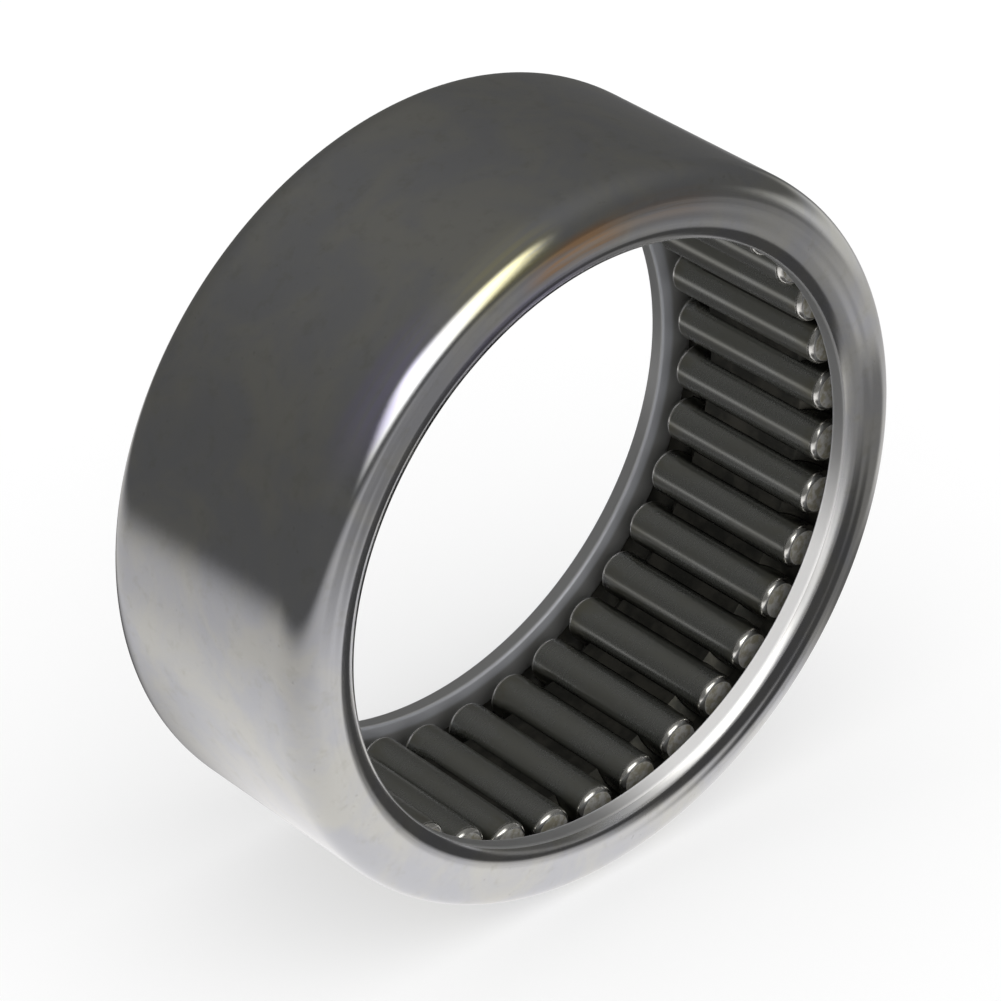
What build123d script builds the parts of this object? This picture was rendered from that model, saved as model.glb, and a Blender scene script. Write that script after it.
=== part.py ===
from build123d import *
from math import cos, radians, sin
import os

# Drawn-cup needle roller bearing with open ends, modelled at true size.
# The origin is the centre of the bearing and Y is its axis. The front face
# looks towards -Y, and the bearing stands on its outside diameter, +Z up.
# Sections are drawn in the XY plane as (radius, y) and revolved about Y.

# ---------------------------------------------------------------- dimensions
# cup
outside_diameter = 50.8
width = 19.05
lip_bore_diameter = 41.50
lip_thickness = 1.55
outer_corner_radius = 1.90
lip_crown_radius = 2.60
lip_crown_angle = 32.0
lip_edge_radius = 0.20
lip_back_radius = 0.20
raceway_corner_radius = 0.35

# needle rollers
roller_count = 36
inscribed_diameter = 41.30
roller_diameter = 3.175
roller_length = 13.40
roller_corner_radius = 0.45
raceway_clearance = 0.035
first_roller_angle = 4.2  # degrees from +X towards +Z

# cage, pressed from one strip
cage_strip = 0.60
cage_guide_clearance = 0.20
cage_rim_width = 1.00
cage_web_inner_radius = 21.60
cage_web_half_length = 4.20
cage_slope_end = 5.60
pocket_side_clearance = 0.05
pocket_end_clearance = 0.10

# radii shared by the pieces
roller_radius = roller_diameter / 2
pitch_radius = inscribed_diameter / 2 + roller_radius
raceway_radius = pitch_radius + roller_radius + raceway_clearance


def make_drawn_cup():
    """Thin steel shell: a cylindrical wall with a lip turned in at each end.

    Each lip has a flat ring, then a gentle crown that falls away towards the
    bore, a small edge radius and a short cylindrical bore.
    """
    outer_radius = outside_diameter / 2
    half_width = width / 2
    lip_bore_radius = lip_bore_diameter / 2
    lip_inner_face = half_width - lip_thickness

    # centres of the rounded corners at the outside wall, lip back and raceway
    corner_radial = outer_radius - outer_corner_radius
    corner_y = half_width - outer_corner_radius
    back_radial = lip_bore_radius + lip_back_radius
    back_y = lip_inner_face + lip_back_radius
    raceway_corner_radial = raceway_radius - raceway_corner_radius
    raceway_corner_y = lip_inner_face - raceway_corner_radius

    # the edge arc runs tangent from the end of the crown into the bore
    crown_turn = 90.0 + lip_crown_angle
    centre_distance = lip_crown_radius - lip_edge_radius
    edge_radial = lip_bore_radius + lip_edge_radius
    crown_radial = edge_radial - centre_distance * cos(radians(crown_turn))
    crown_y = half_width - lip_crown_radius
    edge_y = crown_y + centre_distance * sin(radians(crown_turn))

    with BuildPart() as cup:
        with BuildSketch(Plane.XY):
            with BuildLine():
                # half of the section, from the middle of the outside wall
                # round the +Y lip to the middle of the raceway
                Line((outer_radius, 0), (outer_radius, corner_y))
                CenterArc((corner_radial, corner_y), outer_corner_radius, 0, 90)
                Line((corner_radial, half_width), (crown_radial, half_width))
                CenterArc((crown_radial, crown_y), lip_crown_radius, 90, lip_crown_angle)
                CenterArc(
                    (edge_radial, edge_y), lip_edge_radius, crown_turn, 90 - lip_crown_angle
                )
                Line((lip_bore_radius, edge_y), (lip_bore_radius, back_y))
                CenterArc((back_radial, back_y), lip_back_radius, 180, 90)
                Line((back_radial, lip_inner_face), (raceway_corner_radial, lip_inner_face))
                CenterArc(
                    (raceway_corner_radial, raceway_corner_y), raceway_corner_radius, 90, -90
                )
                Line((raceway_radius, raceway_corner_y), (raceway_radius, 0))
                mirror(about=Plane.XZ)
            make_face()
        revolve(axis=Axis.Y)
    return cup.part


def make_cage():
    """Pressed strip closed into a ring, with one pocket for each roller.

    Both rims run close to the raceway, outside the pitch circle. The bars
    slope inwards to a web inside the pitch circle, where each pocket is
    narrower than its roller and so retains it.
    """
    pocket_half_length = roller_length / 2 + pocket_end_clearance
    half_width = pocket_half_length + cage_rim_width
    rim_radius = raceway_radius - cage_guide_clearance
    web_radius = cage_web_inner_radius + cage_strip

    # (radius, y) along the outer face of the strip; the inner face follows it
    outer_face = [
        (rim_radius, -half_width),
        (rim_radius, -cage_slope_end),
        (web_radius, -cage_web_half_length),
        (web_radius, cage_web_half_length),
        (rim_radius, cage_slope_end),
        (rim_radius, half_width),
    ]
    inner_face = [(radius - cage_strip, y) for radius, y in reversed(outer_face)]

    # the XZ workplane lays the pockets round the Y axis
    with BuildPart(Plane.XZ) as cage:
        with BuildSketch(Plane.XY):
            with BuildLine():
                Polyline(*outer_face, *inner_face, close=True)
            make_face()
        revolve(axis=Axis.Y)
        # each pocket follows the roller's own round flank
        with PolarLocations(pitch_radius, roller_count, start_angle=first_roller_angle):
            Cylinder(
                radius=roller_radius + pocket_side_clearance,
                height=2 * pocket_half_length,
                mode=Mode.SUBTRACT,
            )
    return cage.part


def make_needle_roller(degrees_round):
    """Hardened needle with flat ends and rounded corners, on the pitch circle."""
    angle = radians(degrees_round)
    roller_plane = Plane(
        origin=(pitch_radius * cos(angle), 0, pitch_radius * sin(angle)),
        x_dir=(cos(angle), 0, sin(angle)),
        z_dir=(0, -1, 0),
    )
    with BuildPart() as roller:
        with BuildSketch(roller_plane):
            Circle(roller_radius)
        extrude(amount=roller_length / 2, both=True)
        fillet(roller.edges().filter_by(GeomType.CIRCLE), radius=roller_corner_radius)
    return roller.part


def export_piece(part, name):
    part.label = name
    export_step(part, f"parts/{name}.step")


# -------------------------------------------------------------------- export
os.makedirs("parts", exist_ok=True)
export_piece(make_drawn_cup(), "drawn_cup")
export_piece(make_cage(), "cage")
for index in range(roller_count):
    roller_angle = first_roller_angle + index * 360.0 / roller_count
    export_piece(make_needle_roller(roller_angle), f"needle_roller_{index + 1:02d}")
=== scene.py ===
"""Drawn-cup needle roller bearing: a steel cup with turned-in lips, its needles and its cage.

The bearing's axis is Y and passes through the origin. The cup lies centred on y = 0, with
the front lip at -Y, and rests on a floor below it at -Z. Shapes and texture coordinates
are in millimetres and become metres when a mesh is made.
"""

import math

import bpy
from mathutils import Matrix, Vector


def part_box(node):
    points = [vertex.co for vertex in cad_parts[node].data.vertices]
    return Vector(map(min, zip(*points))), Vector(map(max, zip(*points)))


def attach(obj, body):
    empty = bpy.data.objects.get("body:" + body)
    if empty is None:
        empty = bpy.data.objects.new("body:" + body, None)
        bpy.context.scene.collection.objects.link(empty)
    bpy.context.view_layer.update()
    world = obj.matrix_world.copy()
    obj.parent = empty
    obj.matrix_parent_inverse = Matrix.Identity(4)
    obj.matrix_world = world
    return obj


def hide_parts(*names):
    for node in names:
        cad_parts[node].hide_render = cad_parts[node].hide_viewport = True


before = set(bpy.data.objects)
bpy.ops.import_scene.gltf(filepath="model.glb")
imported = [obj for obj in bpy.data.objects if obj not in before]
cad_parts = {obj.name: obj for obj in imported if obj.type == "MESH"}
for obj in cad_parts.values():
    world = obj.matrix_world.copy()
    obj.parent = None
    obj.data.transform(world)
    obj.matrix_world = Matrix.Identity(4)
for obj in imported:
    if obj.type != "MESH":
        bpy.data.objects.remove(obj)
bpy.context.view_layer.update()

MM = 0.001
PER_METRE = 1000.0
SCENE = bpy.context.scene
ROLLER_NODES = sorted(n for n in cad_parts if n.startswith("needle_roller_"))

# ====================================================== sizes, in millimetres
# taken from the frame
cup_low, cup_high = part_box("drawn_cup")
OUTER_R = (cup_high.x - cup_low.x) / 2 / MM
HALF_W = (cup_high.y - cup_low.y) / 2 / MM
roller_low, roller_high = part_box(ROLLER_NODES[0])
ROLLER_L = (roller_high.y - roller_low.y) / MM

# cup
CORNER = 2.35  # reach of the outer corner along the wall and along the face
CORNER_EASE = 0.55  # how gently the corner's bend starts and ends
RACEWAY_R = 23.86
RACEWAY_FILLET = 0.35
LIP_BORE_R = 20.75
LIP_T = 1.55
LIP_BACK_Y = HALF_W - LIP_T
LIP_EDGE_R = 0.20
LIP_BACK_R = 0.20
CROWN_R = 2.60
CROWN_ANGLE = 32.0  # degrees the crown turns down towards the bore

# concentric waves on each lip's face
WAVE_DEPTH = 0.006  # half of the deepest cut
WAVE_PITCH = 0.80
WAVE_CREST_R = 23.9
WAVE_OUTER_GAP, WAVE_OUTER_FADE = 1.5, 0.6
WAVE_INNER_GAP, WAVE_INNER_FADE = 0.25, 0.4
WAVE_FACE_DEPTH = 0.7  # the waves stay this far outside the lip's back

# needles
ROLLER_R = 1.5875
ROLLER_CORNER = 0.45
ROLLER_CROWN = 0.05
ROLLER_TURN_STEP = 1.7  # radians from one needle to the next, about its own axis


# ================================================================ mesh helpers
def arc(cx, cy, radius, start, end, steps):
    """Points on an arc, angles in degrees, both ends included."""
    angles = [math.radians(start + (end - start) * i / steps) for i in range(steps + 1)]
    return [(cx + radius * math.cos(a), cy + radius * math.sin(a)) for a in angles]


def line(start, end, steps):
    return [
        (
            start[0] + (end[0] - start[0]) * i / steps,
            start[1] + (end[1] - start[1]) * i / steps,
        )
        for i in range(steps + 1)
    ]


def joined(*runs):
    """One run of points, with the points shared by neighbouring runs kept once."""
    points = []
    for run in runs:
        for p in run:
            if not points or math.hypot(p[0] - points[-1][0], p[1] - points[-1][1]) > 1e-5:
                points.append(p)
    return points


def mirrored(points):
    """The points in reverse order on the other side of y = 0."""
    return [(r, -y) for r, y in reversed(points)]


def turned(points, segments):
    """Vertices of (radius, y) points turned about the Y axis, one segment after another."""
    verts = []
    for s in range(segments):
        angle = 2 * math.pi * s / segments
        cos, sin = math.cos(angle), math.sin(angle)
        verts += [(r * cos, y, r * sin) for r, y in points]
    return verts


def segment_starts(count, segments):
    """First vertex of each segment and of the one after it."""
    return [(s * count, ((s + 1) % segments) * count) for s in range(segments)]


def smooth_mesh(name, verts, faces):
    mesh = bpy.data.meshes.new(name)
    mesh.from_pydata([tuple(c * MM for c in v) for v in verts], [], faces)
    mesh.validate()
    mesh.update()
    for polygon in mesh.polygons:
        polygon.use_smooth = True
    return mesh


def lathe_ring(name, section, segments):
    """A closed section turned; normals point out if it runs anticlockwise in (radius, y)."""
    count = len(section)
    faces = []
    for here, there in segment_starts(count, segments):
        for i in range(count):
            j = (i + 1) % count
            faces.append((here + i, here + j, there + j, there + i))
    return smooth_mesh(name, turned(section, segments), faces)


def lathe_rod(name, profile, segments):
    """An open profile turned, from the low end's centre to the high end's centre."""
    inner = profile[1:-1]
    count = len(inner)
    verts = turned(inner, segments)
    low, high = len(verts), len(verts) + 1
    verts += [(0, profile[0][1], 0), (0, profile[-1][1], 0)]
    faces = []
    for here, there in segment_starts(count, segments):
        for i in range(count - 1):
            faces.append((here + i, here + i + 1, there + i + 1, there + i))
        faces.append((low, here, there))
        faces.append((high, there + count - 1, here + count - 1))
    return smooth_mesh(name, verts, faces)


def place(name, mesh):
    obj = bpy.data.objects.new(name, mesh)
    SCENE.collection.objects.link(obj)
    return obj


# ===================================================================== the cup
def soft_corner(steps=36, substeps=20):
    """The outer corner: it leaves the wall and meets the face without a visible crease."""
    r, y = 0.0, 0.0
    points = [(r, y)]
    total = steps * substeps
    for i in range(total):
        u = (i + 0.5) / total
        eased = u - CORNER_EASE * math.sin(2 * math.pi * u) / (2 * math.pi)
        heading = math.pi / 2 * eased
        r, y = r - math.sin(heading), y + math.cos(heading)
        if (i + 1) % substeps == 0:
            points.append((r, y))
    scale = CORNER / y
    return [(OUTER_R + r * scale, HALF_W - CORNER + y * scale) for r, y in points]


def wave_depth(r):
    """Depth of the waves on a lip's face, fading out towards the wall and the bore."""
    outer = min(max((OUTER_R - WAVE_OUTER_GAP - r) / WAVE_OUTER_FADE, 0), 1)
    inner = min(max((r - LIP_BORE_R - WAVE_INNER_GAP) / WAVE_INNER_FADE, 0), 1)
    phase = 2 * math.pi * (WAVE_CREST_R - r) / WAVE_PITCH
    return WAVE_DEPTH * outer * inner * (1 - math.cos(phase))


def cup_section():
    """Section of the drawn cup: wall, and a crowned lip turned in at each end."""
    turn = 90 + CROWN_ANGLE
    edge_r = LIP_BORE_R + LIP_EDGE_R
    flat_r = edge_r - (CROWN_R - LIP_EDGE_R) * math.cos(math.radians(turn))
    edge_y = HALF_W - CROWN_R + (CROWN_R - LIP_EDGE_R) * math.sin(math.radians(turn))
    back_r = LIP_BORE_R + LIP_BACK_R
    back_y = LIP_BACK_Y + LIP_BACK_R
    fillet_r = RACEWAY_R - RACEWAY_FILLET
    fillet_y = LIP_BACK_Y - RACEWAY_FILLET
    half = joined(
        line((OUTER_R, 0), (OUTER_R, HALF_W - CORNER), 12),
        soft_corner(),
        line((OUTER_R - CORNER, HALF_W), (flat_r, HALF_W), 12),
        arc(flat_r, HALF_W - CROWN_R, CROWN_R, 90, turn, 16),
        arc(edge_r, edge_y, LIP_EDGE_R, turn, 180, 8),
        line((LIP_BORE_R, edge_y), (LIP_BORE_R, back_y), 5),
        arc(back_r, back_y, LIP_BACK_R, 180, 270, 6),
        line((back_r, LIP_BACK_Y), (fillet_r, LIP_BACK_Y), 5),
        arc(fillet_r, fillet_y, RACEWAY_FILLET, 90, 0, 6),
        line((RACEWAY_R, fillet_y), (RACEWAY_R, 0), 8),
    )
    face_y = LIP_BACK_Y + WAVE_FACE_DEPTH
    half = [(r, y - wave_depth(r) if y > face_y else y) for r, y in half]
    return half + mirrored(half)[1:-1]


cup = place("cup", lathe_ring("cup", cup_section(), 360))


# ================================================================= the needles
def roller_profile():
    """A needle's outline: faintly crowned ends, rounded corners and a straight flank."""
    end_y = -ROLLER_L / 2
    flat_r = ROLLER_R - ROLLER_CORNER
    end = [(flat_r * i / 10, end_y + ROLLER_CROWN * (i / 10) ** 2) for i in range(11)]
    corner_y = end_y + ROLLER_CROWN + ROLLER_CORNER
    corner = arc(flat_r, corner_y, ROLLER_CORNER, -90, 0, 10)[1:]
    half = end + corner
    flank = line((ROLLER_R, half[-1][1]), (ROLLER_R, -half[-1][1]), 16)[1:]
    return half + flank + mirrored(half)[1:]


roller_mesh = lathe_rod("roller_01", roller_profile(), 64)
rollers = []
for i, node in enumerate(ROLLER_NODES):
    low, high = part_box(node)
    centre = (low + high) / 2
    obj = place(f"roller_{i + 1:02d}", roller_mesh)
    obj.location = centre
    obj.rotation_euler = (0, -math.atan2(centre.z, centre.x) + ROLLER_TURN_STEP * i, 0)
    obj.pass_index = i + 1  # seeds the needle's texture
    rollers.append((obj, node))

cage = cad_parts["cage"]


# ================================================================ node helpers
class Field:
    """A shader value; arithmetic on it adds Math nodes."""

    def __init__(self, graph, socket):
        self.graph = graph
        self.socket = socket

    def __add__(self, other):
        return self.graph.calc("ADD", self, other)

    def __radd__(self, other):
        return self.graph.calc("ADD", other, self)

    def __sub__(self, other):
        return self.graph.calc("SUBTRACT", self, other)

    def __rsub__(self, other):
        return self.graph.calc("SUBTRACT", other, self)

    def __mul__(self, other):
        return self.graph.calc("MULTIPLY", self, other)

    def __truediv__(self, other):
        return self.graph.calc("DIVIDE", self, other)

    def __abs__(self):
        return self.graph.calc("ABSOLUTE", self)


class Graph:
    """Builds a node tree."""

    def __init__(self, tree):
        self.tree = tree
        tree.nodes.clear()

    def add(self, kind, inputs=None, **settings):
        node = self.tree.nodes.new(kind)
        for key, value in settings.items():
            setattr(node, key, value)
        for key, value in (inputs or {}).items():
            self.put(node.inputs[key], value)
        return node

    def put(self, socket, value):
        """Link a field, socket or node to a socket, or set its value."""
        if isinstance(value, Field):
            value = value.socket
        elif isinstance(value, bpy.types.Node):
            value = value.outputs[0]
        if isinstance(value, bpy.types.NodeSocket):
            self.tree.links.new(value, socket)
        else:
            socket.default_value = value

    def calc(self, operation, first, second=0.0):
        inputs = {0: first, 1: second, 2: 0.0}
        node = self.add("ShaderNodeMath", inputs, operation=operation)
        return Field(self, node.outputs[0])

    def vec(self, x, y, z):
        node = self.add("ShaderNodeCombineXYZ", {0: x, 1: y, 2: z})
        return Field(self, node.outputs[0])

    def split(self, vector):
        node = self.add("ShaderNodeSeparateXYZ", {0: vector})
        return [Field(self, socket) for socket in node.outputs]

    def length(self, a, b):
        return self.calc("SQRT", a * a + b * b)

    def ramp(self, value, over, to=(0.0, 1.0), kind="SMOOTHSTEP"):
        """Carry the range `over` to the range `to`, held at both ends."""
        node = self.add(
            "ShaderNodeMapRange",
            {
                "Value": value,
                "From Min": over[0],
                "From Max": over[1],
                "To Min": to[0],
                "To Max": to[1],
            },
            interpolation_type=kind,
            clamp=True,
        )
        return Field(self, node.outputs["Result"])

    def noise(self, vector, scale=1.0, detail=2.0, rough=0.5, distortion=0.0, seed=None):
        inputs = {
            "Vector": vector,
            "Scale": scale,
            "Detail": detail,
            "Roughness": rough,
            "Distortion": distortion,
        }
        if seed is not None:
            inputs["W"] = seed
        dimensions = "3D" if seed is None else "4D"
        node = self.add("ShaderNodeTexNoise", inputs, noise_dimensions=dimensions)
        return Field(self, node.outputs[0])

    def mix(self, factor, a, b, data_type="RGBA", suffix="Color"):
        node = self.add("ShaderNodeMix", data_type=data_type, clamp_factor=True)
        sockets = {s.identifier: s for s in node.inputs}
        self.put(sockets["Factor_Float"], factor)
        self.put(sockets["A_" + suffix], a)
        self.put(sockets["B_" + suffix], b)
        results = {s.identifier: s for s in node.outputs}
        return Field(self, results["Result_" + suffix])

    def mix_values(self, factor, a, b):
        return self.mix(factor, a, b, data_type="FLOAT", suffix="Float")

    def bump(self, height, strength, distance, **extra):
        inputs = {"Strength": strength, "Distance": distance, "Height": height, **extra}
        return self.add("ShaderNodeBump", inputs)


def material(name):
    mat = bpy.data.materials.new(name)
    mat.use_nodes = True
    return mat, Graph(mat.node_tree)


def place_mm(g):
    """Object coordinates x, y, z in millimetres."""
    position = g.add("ShaderNodeTexCoord").outputs["Object"]
    return [axis * PER_METRE for axis in g.split(position)]


def polar(g):
    """Millimetre coordinates about the object's Y axis: x, y, z, radius, unit x, unit z."""
    x, y, z = place_mm(g)
    r = g.length(x, z)
    safe_r = g.calc("MAXIMUM", r, 0.001)  # keeps the division off zero
    return x, y, z, r, x / safe_r, z / safe_r


def vary(base, field, by):
    """A base value moved up and down by a noise field centred on 0.5."""
    return base + (field - 0.5) * by


def brushed_steel(g, colour, rough, aniso, normal, metallic=1.0, coat=0.0):
    """Principled surface whose highlights stretch relative to the Y axis."""
    tangent = g.add("ShaderNodeTangent", direction_type="RADIAL", axis="Y")
    inputs = {
        "Base Color": colour,
        "Metallic": metallic,
        "Roughness": rough,
        "Anisotropic": aniso,
        "Anisotropic Rotation": 0.25,
        "Normal": normal,
        "Tangent": tangent,
        "Coat Weight": coat,
        "Coat Roughness": 0.12,
    }
    surface = g.add("ShaderNodeBsdfPrincipled", inputs)
    g.add("ShaderNodeOutputMaterial", {0: surface})


# =================================================================== materials
# heat and oil colours on the front lip, laid one over another:
# centre angle from +X towards +Z and half spread in degrees,
# inner radius, outer radius and soft edge in mm, colour, amount
LIP_PATCHES = [
    (98, 13, 22.3, 23.9, 0.35, (0.86, 0.50, 0.24, 1), 0.85),
    (110, 12, 23.6, 25.2, 0.40, (0.84, 0.78, 0.45, 1), 0.80),
    (133, 16, 24.4, 25.5, 0.30, (0.56, 0.52, 0.78, 1), 0.60),
    (112, 22, 20.9, 22.1, 0.35, (0.55, 0.52, 0.76, 1), 0.65),
    (82, 16, 22.6, 24.2, 0.40, (0.62, 0.50, 0.40, 1), 0.55),
]


def lip_patches(g, tone, y, r, turn, streak):
    for angle, spread, inner_r, outer_r, edge, colour, amount in LIP_PATCHES:
        sweep = (math.radians(spread), math.radians(spread * 0.25))
        sector = g.ramp(abs(turn - math.radians(angle)), over=sweep)
        band = g.ramp(r, over=(inner_r - edge, inner_r + edge)) * g.ramp(
            r, over=(outer_r + edge, outer_r - edge)
        )
        band = band * g.ramp(y, over=(-HALF_W + 3.2, -HALF_W + 2.2))
        broken = g.ramp(streak, over=(0.34, 0.56), to=(0.35, 1.0))
        tone = g.mix((sector * band) * (broken * amount), tone, colour)
    return tone


def cup_material():
    cool, warm = (0.550, 0.557, 0.582, 1), (0.610, 0.605, 0.572, 1)
    spot_colour, speck_colour = (0.46, 0.455, 0.40, 1), (0.30, 0.29, 0.27, 1)
    # the second inside colour is painted shade for the surfaces deeper in
    near_bore, shaded_inside_colour = (0.46, 0.47, 0.50, 1), (0.28, 0.28, 0.275, 1)
    # the near-white colour here is a painted highlight for the front lip's bore
    bore_colour, painted_highlight_colour = (0.34, 0.34, 0.34, 1), (0.93, 0.92, 0.91, 1)
    marks_across = 9.0  # texture units per mm, for marks that run round the axis

    mat, g = material("cup_ground_steel")
    x, y, z, r, ux, uz = polar(g)
    ay = abs(y)

    # turning and grinding marks: slow along the circle, fast across it
    across = y * marks_across + r * marks_across
    scratch = g.noise(g.vec(ux * 5.0, across, uz * 5.0), detail=6.0, rough=0.65)
    fine = g.noise(g.vec(ux * 14.0, across * 3.2, uz * 14.0), detail=4.0, rough=0.6)

    # slow mottling from handling and oil
    position = g.vec(x, y, z)
    cloud = g.noise(position, scale=0.16, detail=5.0, rough=0.6, distortion=0.6)
    spot = g.noise(position, scale=0.75, detail=4.0, rough=0.65)
    rough = vary(vary(0.105, cloud, by=0.08), scratch, by=0.12)
    rough = g.calc("MAXIMUM", rough, 0.05)
    tone = g.mix(g.ramp(cloud, over=(0.36, 0.64)), cool, warm)
    tone = g.mix(g.ramp(spot, over=(0.52, 0.72), to=(0.0, 0.32)), tone, spot_colour)
    speck = g.noise(position, scale=2.6, detail=2.0, rough=0.5)
    tone = g.mix(g.ramp(speck, over=(0.70, 0.78), to=(0.0, 0.25)), tone, speck_colour)

    turn = g.calc("ARCTAN2", uz, ux)
    streak = g.noise(g.vec(ux * 3.0, across * 0.25, uz * 3.0), detail=3.0, rough=0.55)
    tone = lip_patches(g, tone, y, r, turn, streak)

    # inside surfaces keep their dull, oily finish, and painted shade darkens them from about
    # 0.7 mm out from the lip's bore
    inside = g.ramp(r, over=(RACEWAY_R + 0.2, RACEWAY_R + 0.05)) * g.ramp(
        ay, over=(LIP_BACK_Y + 0.30, LIP_BACK_Y + 0.12)
    )
    rough = g.mix_values(inside, rough, b=0.42)
    # painted shade: darker deeper inside, away from the bore
    inside_shade = g.ramp(r, over=(LIP_BORE_R + 0.70, LIP_BORE_R + 1.10))
    tone = g.mix(inside, tone, g.mix(inside_shade, near_bore, shaded_inside_colour))

    # bore of each lip: sheared, rougher; on the front one a painted highlight makes the bore
    # and crown near-white and less metallic over one part
    bore = g.ramp(r, over=(LIP_BORE_R + 0.16, LIP_BORE_R + 0.06)) * g.ramp(
        ay, over=(LIP_BACK_Y + 0.05, LIP_BACK_Y + 0.2)
    )
    highlight_centre = math.radians(48)  # from +X towards -Z
    highlight_sector = g.ramp(abs(turn + highlight_centre), over=(math.radians(54), math.radians(22)))
    front = g.ramp(y, over=(1.0, -1.0))
    crown = g.ramp(r, over=(LIP_BORE_R + 0.80, LIP_BORE_R + 0.40)) * g.ramp(
        ay, over=(LIP_BACK_Y + 0.5, LIP_BACK_Y + 0.7)
    )
    crown_highlight_share = 0.7
    # painted highlight: the front lip's bore and crown turn near-white and less metallic over
    # one sector
    bright = g.calc("MAXIMUM", bore, crown * crown_highlight_share) * (front * highlight_sector)
    rough = g.mix_values(bore, rough, b=0.40)
    tone = g.mix(bore, tone, bore_colour)
    tone = g.mix(bright, tone, painted_highlight_colour)

    # how much less metallic each zone is
    bright_loss, inside_loss, bore_loss = 0.80, 0.60, 0.30
    metal = 1.0 - bright * bright_loss - inside * inside_loss
    metal = metal - g.calc("MAXIMUM", bore * bore_loss - bright, 0.0)

    scratch_share, fine_share = 0.55, 0.45
    marks = g.bump(scratch * scratch_share + fine * fine_share, strength=0.3, distance=0.00001)
    wave = g.noise(position, scale=0.09, detail=2.0, rough=0.4)
    normal = g.bump(wave, strength=0.35, distance=0.0001, Normal=marks)
    brushed_steel(g, tone, rough, aniso=0.6, normal=normal, metallic=metal)
    return mat


def roller_material():
    clean, oily = (0.325, 0.33, 0.315, 1), (0.255, 0.245, 0.19, 1)
    # the near-white rim colour is a painted highlight
    rim_highlight_colour = (0.88, 0.87, 0.83, 1)
    pit_low, pit_high = (0.40, 0.37, 0.28, 1), (0.62, 0.61, 0.58, 1)
    seed_step = 7.31
    half_l = ROLLER_L / 2

    mat, g = material("roller_ground_steel")
    x, y, z, r, ux, uz = polar(g)
    info = g.add("ShaderNodeObjectInfo")
    seed = Field(g, info.outputs["Object Index"]) * seed_step

    # grinding marks round the needle, and oil that gathers towards its ends
    scratch = g.noise(g.vec(ux * 2.0, y * 7.0, uz * 2.0), detail=2.0, rough=0.5, seed=seed)
    smear = g.noise(g.vec(x, y * 0.45, z), scale=0.55, detail=4.0, rough=0.6, seed=seed)
    end = g.ramp(abs(y), over=(half_l - 2.2, half_l - 0.2))
    oil_middle, oil_end_gain, oil_rough = 0.25, 0.6, 0.08
    oil = g.ramp(smear, over=(0.42, 0.62)) * (oil_middle + end * oil_end_gain)
    tone = g.mix(oil, clean, oily)
    rough = vary(0.27, scratch, by=0.05) + oil * oil_rough

    # rounded rim painted near-white: a painted highlight on the needle's corners
    rim_highlight = g.ramp(abs(y), over=(half_l - 0.50, half_l - 0.36)) * g.ramp(
        r, over=(ROLLER_R - 0.46, ROLLER_R - 0.36)
    )
    tone = g.mix(rim_highlight, tone, rim_highlight_colour)
    rough = g.mix_values(rim_highlight, rough, b=0.20)

    # pitted end face
    face = g.ramp(r, over=(ROLLER_R - 0.28, ROLLER_R - 0.42))
    face = face * g.ramp(abs(y), over=(half_l - 0.25, half_l - 0.15))
    pit = g.noise(g.vec(x, y, z), scale=2.2, detail=3.0, rough=0.6, seed=seed)
    tone = g.mix(face, tone, g.mix(g.ramp(pit, over=(0.40, 0.62)), pit_low, pit_high))
    rough = g.mix_values(face, rough, b=0.34)
    face_metal_loss, dent_strength, oil_coat = 0.55, 0.5, 0.4
    metal = 1.0 - face * face_metal_loss

    marks = g.bump(scratch, strength=0.12, distance=0.000008)
    dents = g.bump(pit, strength=face * dent_strength, distance=0.00004, Normal=marks)
    brushed_steel(
        g, tone, rough, aniso=0.5, normal=dents, metallic=metal, coat=oil * oil_coat
    )
    return mat


def cage_material():
    # painted shade: the cage is coloured near-black so its bars stay as dark as the shaded
    # gaps between the needles
    dark, light = (0.045, 0.045, 0.040, 1), (0.085, 0.082, 0.070, 1)
    mat, g = material("cage_blackened_steel")
    position = g.vec(*place_mm(g))
    cloud = g.noise(position, scale=0.5, detail=4.0, rough=0.6)
    grain = g.noise(position, scale=9.0, detail=3.0, rough=0.6)
    tone = g.mix(g.ramp(cloud, over=(0.4, 0.65)), dark, light)
    rough = vary(0.45, grain, by=0.2)
    normal = g.bump(grain, strength=0.25, distance=0.00002)
    brushed_steel(g, tone, rough, aniso=0.2, normal=normal)
    return mat


cup.data.materials.append(cup_material())
roller_mesh.materials.append(roller_material())
cage.data.materials.clear()
cage.data.materials.append(cage_material())

# ============================================================ riding the frame
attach(cup, "cup")
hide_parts("drawn_cup")
for obj, node in rollers:
    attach(obj, obj.name)
    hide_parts(node)

# =================================================================== the stage
STEEL_REFLECTANCE = 0.6


def seen(level):
    """Radiance that steel shows as an sRGB display level from 0 to 255."""
    v = level / 255
    linear = v / 12.92 if v <= 0.04045 else ((v + 0.055) / 1.055) ** 2.4
    return linear / STEEL_REFLECTANCE


# darker patches of floor that the steel mirrors, laid one over another; the last is a painted
# shadow of the bearing behind it:
# centre x and y in mm, turn in degrees, two half-axes in mm, softness, display level
FLOOR_BLOBS = [
    (39, -6, 0, 11, 22, 0.75, 84),
    (51, -33, 8, 27, 15, 0.35, 100),
    (42, -70, -20, 42, 24, 0.35, 112),
    (23, -29, -20, 26, 13, 0.18, 58),
    (12, 40, 15, 40, 27, 0.30, 70),
]


def ellipse(g, x, y, cx, cy, angle, half_a, half_b, soft):
    """1 inside a soft ellipse on the floor, 0 outside."""
    cos, sin = math.cos(math.radians(angle)), math.sin(math.radians(angle))
    dx, dy = x - cx, y - cy
    u = (dx * cos + dy * sin) / half_a
    v = (dy * cos - dx * sin) / half_b
    return g.ramp(g.length(u, v), over=(1.0 + soft, 1.0 - soft))


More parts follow.
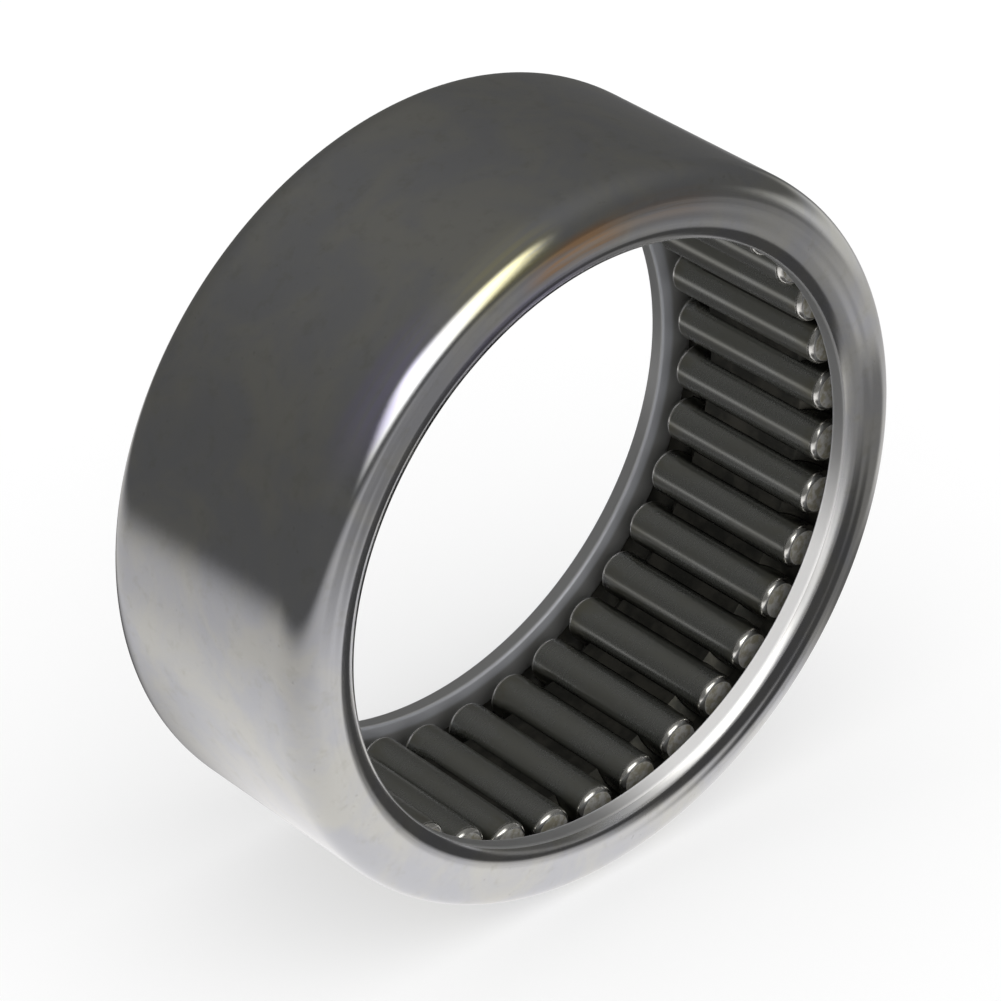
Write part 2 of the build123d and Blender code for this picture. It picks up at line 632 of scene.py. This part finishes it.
def floor_material():
    """White paper; glossy rays see instead a glowing painted sheet, brighter near the bearing,
    with darker patches and a painted shadow of the bearing, that clears with distance.
    """
    mat, g = material("stage_floor_paper")
    path = g.add("ShaderNodeLightPath")
    position = g.add("ShaderNodeNewGeometry").outputs["Position"]
    x, y = [axis * PER_METRE for axis in g.split(position)[:2]]
    away = g.length(x, y)
    light = g.ramp(away, over=(20.0, 62.0), to=(seen(201), seen(166)), kind="LINEAR")
    light = g.ramp(away, over=(62.0, 120.0), to=(light, seen(142)), kind="LINEAR")
    # darker patches on the sheet; the last one is a painted shadow of the bearing
    for *shape, level in FLOOR_BLOBS:
        light = g.mix_values(ellipse(g, x, y, *shape), light, seen(level))
    sheet = g.add("ShaderNodeEmission", {"Color": (1.0, 0.985, 0.985, 1), "Strength": light})
    clear = g.add("ShaderNodeBsdfTransparent")
    fade = g.ramp(away, over=(80.0, 150.0))
    reflected = g.add("ShaderNodeMixShader", {0: fade, 1: sheet, 2: clear})
    paper = g.add("ShaderNodeBsdfDiffuse", {"Color": (0.90, 0.90, 0.90, 1)})
    glow = g.add("ShaderNodeEmission", {"Color": (1, 1, 1, 1), "Strength": 1.0})
    glow_share = 0.45
    lit = g.add("ShaderNodeMixShader", {0: glow_share, 1: paper, 2: glow})
    glossy = path.outputs["Is Glossy Ray"]
    whole = g.add("ShaderNodeMixShader", {0: glossy, 1: lit, 2: reflected})
    g.add("ShaderNodeOutputMaterial", {0: whole})
    return mat


bpy.ops.mesh.primitive_plane_add(size=8.0, location=(0, 0, -OUTER_R * MM))
floor = bpy.context.object
floor.name = "stage_floor"
floor.data.materials.append(floor_material())


# ==================================================================== the room
def room_light(g, direction):
    """Colour of the room that glossy rays see.

    Elevation is in degrees above the floor, azimuth in degrees from -Y towards +X.
    """
    dx, dy, dz = g.split(direction)
    elevation = g.calc("ARCSINE", dz) * (180 / math.pi)
    azimuth = g.calc("ARCTAN2", dx, dy * -1.0) * (180 / math.pi)
    # dark, a little lighter overhead
    level = g.ramp(elevation, over=(5.0, 80.0), to=(seen(74), seen(92)))

    # tall soft window whose low-azimuth edge slopes
    window_level, edge_start, edge_slope = 2.1, -6.0, -0.80
    right = g.ramp(azimuth, over=(27.0, 13.0))
    left_edge = edge_start + elevation * edge_slope
    left = g.ramp(azimuth - left_edge, over=(-8.0, 10.0))
    top = g.ramp(elevation, over=(52.0, 30.0))
    bottom = g.ramp(elevation, over=(-13.0, -3.0))
    level = g.mix_values((right * left) * (top * bottom), level, window_level)

    # low bright wall towards +X
    wall = g.ramp(azimuth, over=(50.0, 66.0)) * g.ramp(azimuth, over=(126.0, 106.0))
    wall = wall * (
        g.ramp(elevation, over=(2.0, -12.0)) * g.ramp(elevation, over=(-40.0, -27.0))
    )
    level = g.mix_values(wall, level, seen(172))

    upper_tint, lower_tint = (1.0, 0.993, 0.96, 1), (1.0, 0.99, 0.985, 1)
    tint = g.mix(g.ramp(elevation, over=(-5.0, -20.0)), upper_tint, lower_tint)
    return g.add("ShaderNodeVectorMath", {0: tint, "Scale": level}, operation="SCALE")


def build_world():
    """The camera sees white, glossy rays see the room, other rays get a soft fill."""
    world = bpy.data.worlds.new("studio")
    SCENE.world = world
    world.use_nodes = True
    g = Graph(world.node_tree)
    path = g.add("ShaderNodeLightPath")
    direction = g.add("ShaderNodeTexCoord").outputs["Generated"]
    colour = room_light(g, direction)
    room = g.add("ShaderNodeBackground", {"Color": colour, "Strength": 1.0})

    # the fill is strongest from above, on the -X -Y side
    fill_from, fill_base, fill_gain = (-0.30, -0.60, 0.74), 0.60, 1.1
    inputs = {0: direction, 1: fill_from}
    lean = g.add("ShaderNodeVectorMath", inputs, operation="DOT_PRODUCT")
    facing = g.calc("MAXIMUM", lean.outputs["Value"], 0.0)
    fill = fill_base + facing * fill_gain
    soft = g.add("ShaderNodeBackground", {"Color": (1, 1, 1, 1), "Strength": fill})
    white = g.add("ShaderNodeBackground", {"Color": (1, 1, 1, 1), "Strength": 1.0})
    glossy, camera = path.outputs["Is Glossy Ray"], path.outputs["Is Camera Ray"]
    unseen = g.add("ShaderNodeMixShader", {0: glossy, 1: soft, 2: room})
    whole = g.add("ShaderNodeMixShader", {0: camera, 1: unseen, 2: white})
    g.add("ShaderNodeOutputWorld", {0: whole})


build_world()

# ================================================================== the camera
# columns: right, up, backward, position in metres
CAMERA_MATRIX = (
    (0.74809, 0.35356, -0.56161, -0.16743),
    (-0.66362, 0.39855, -0.63306, -0.18765),
    (0.0, 0.84628, 0.53277, 0.15759),
    (0.0, 0.0, 0.0, 1.0),
)
camera_data = bpy.data.cameras.new("camera")
camera_data.sensor_width = 36.0
camera_data.sensor_fit = "HORIZONTAL"
camera_data.lens = 167.516883
camera_data.clip_start = 0.01
camera_data.clip_end = 20.0
camera = place("camera", camera_data)
camera.matrix_world = Matrix(CAMERA_MATRIX)
SCENE.camera = camera
SCENE.view_settings.view_transform = "Standard"
